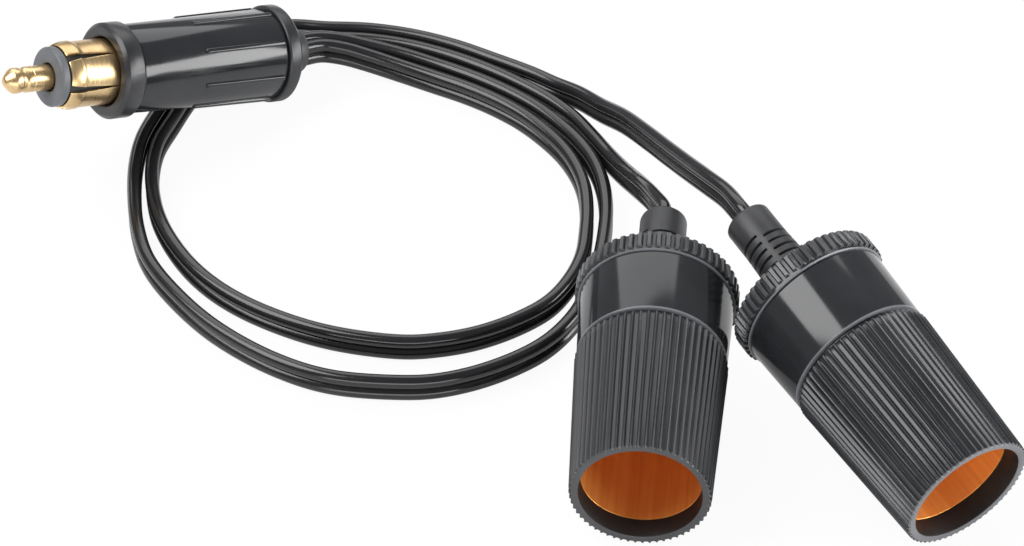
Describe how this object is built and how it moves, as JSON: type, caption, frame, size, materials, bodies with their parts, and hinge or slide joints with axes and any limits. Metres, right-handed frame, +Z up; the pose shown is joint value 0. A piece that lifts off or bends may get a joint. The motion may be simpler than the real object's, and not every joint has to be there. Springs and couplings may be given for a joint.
{
  "type": "din socket splitter cable",
  "caption": "Splitter lead: a round DIN power plug with brass contacts, two flat twin cables in one loop, and two fluted female power sockets.",
  "frame": {"origin": "on the surface it lies on, under the middle of the plug and sockets", "axes": "+Z up, +X from the plug towards the sockets, as seen from the front"},
  "size_m": [0.1804, 0.1477, 0.0356],
  "materials": {
    "satin_black": "moulded, satin",
    "gloss_black": "moulded, glossy",
    "matt_black": "moulded, matt",
    "rubber_black": "soft matt",
    "cable_black": "extruded, glossy",
    "insulator_grey": "moulded, matt",
    "brass": "turned, bright",
    "copper_shell": "drawn, copper coloured",
    "steel": "plated",
    "fibre": "pressed fibre",
    "red_lead": "extruded"
  },
  "bodies": {
    "root": {"plug_centre_pin": "brass", "plug_insulator_nose": "insulator_grey", "plug_spring_sleeve": "brass", "plug_front_flange": "matt_black", "plug_barrel": "gloss_black", "plug_end_cap": "matt_black", "plug_cable_bush": "rubber_black", "plug_pin_tag": "brass", "plug_sleeve_tag": "brass", "plug_positive_lead_1": "red_lead", "plug_negative_lead_1": "cable_black", "plug_positive_lead_2": "red_lead", "plug_negative_lead_2": "cable_black", "socket_1_housing": "satin_black", "socket_1_rear_cap": "matt_black", "socket_1_cable_boot": "rubber_black", "socket_1_metal_shell": "copper_shell", "socket_1_centre_contact": "brass", "socket_1_front_insulator": "fibre", "socket_1_rear_insulator": "fibre", "socket_1_contact_bolt": "steel", "socket_1_contact_nut": "steel", "socket_1_positive_tag": "brass", "socket_1_negative_tag": "brass", "socket_1_positive_lead": "red_lead", "socket_1_negative_lead": "cable_black", "socket_2_housing": "satin_black", "socket_2_rear_cap": "matt_black", "socket_2_cable_boot": "rubber_black", "socket_2_metal_shell": "copper_shell", "socket_2_centre_contact": "brass", "socket_2_front_insulator": "fibre", "socket_2_rear_insulator": "fibre", "socket_2_contact_bolt": "steel", "socket_2_contact_nut": "steel", "socket_2_positive_tag": "brass", "socket_2_negative_tag": "brass", "socket_2_positive_lead": "red_lead", "socket_2_negative_lead": "cable_black", "cable_1": "cable_black", "cable_2": "cable_black"}
  },
  "joints": []
}
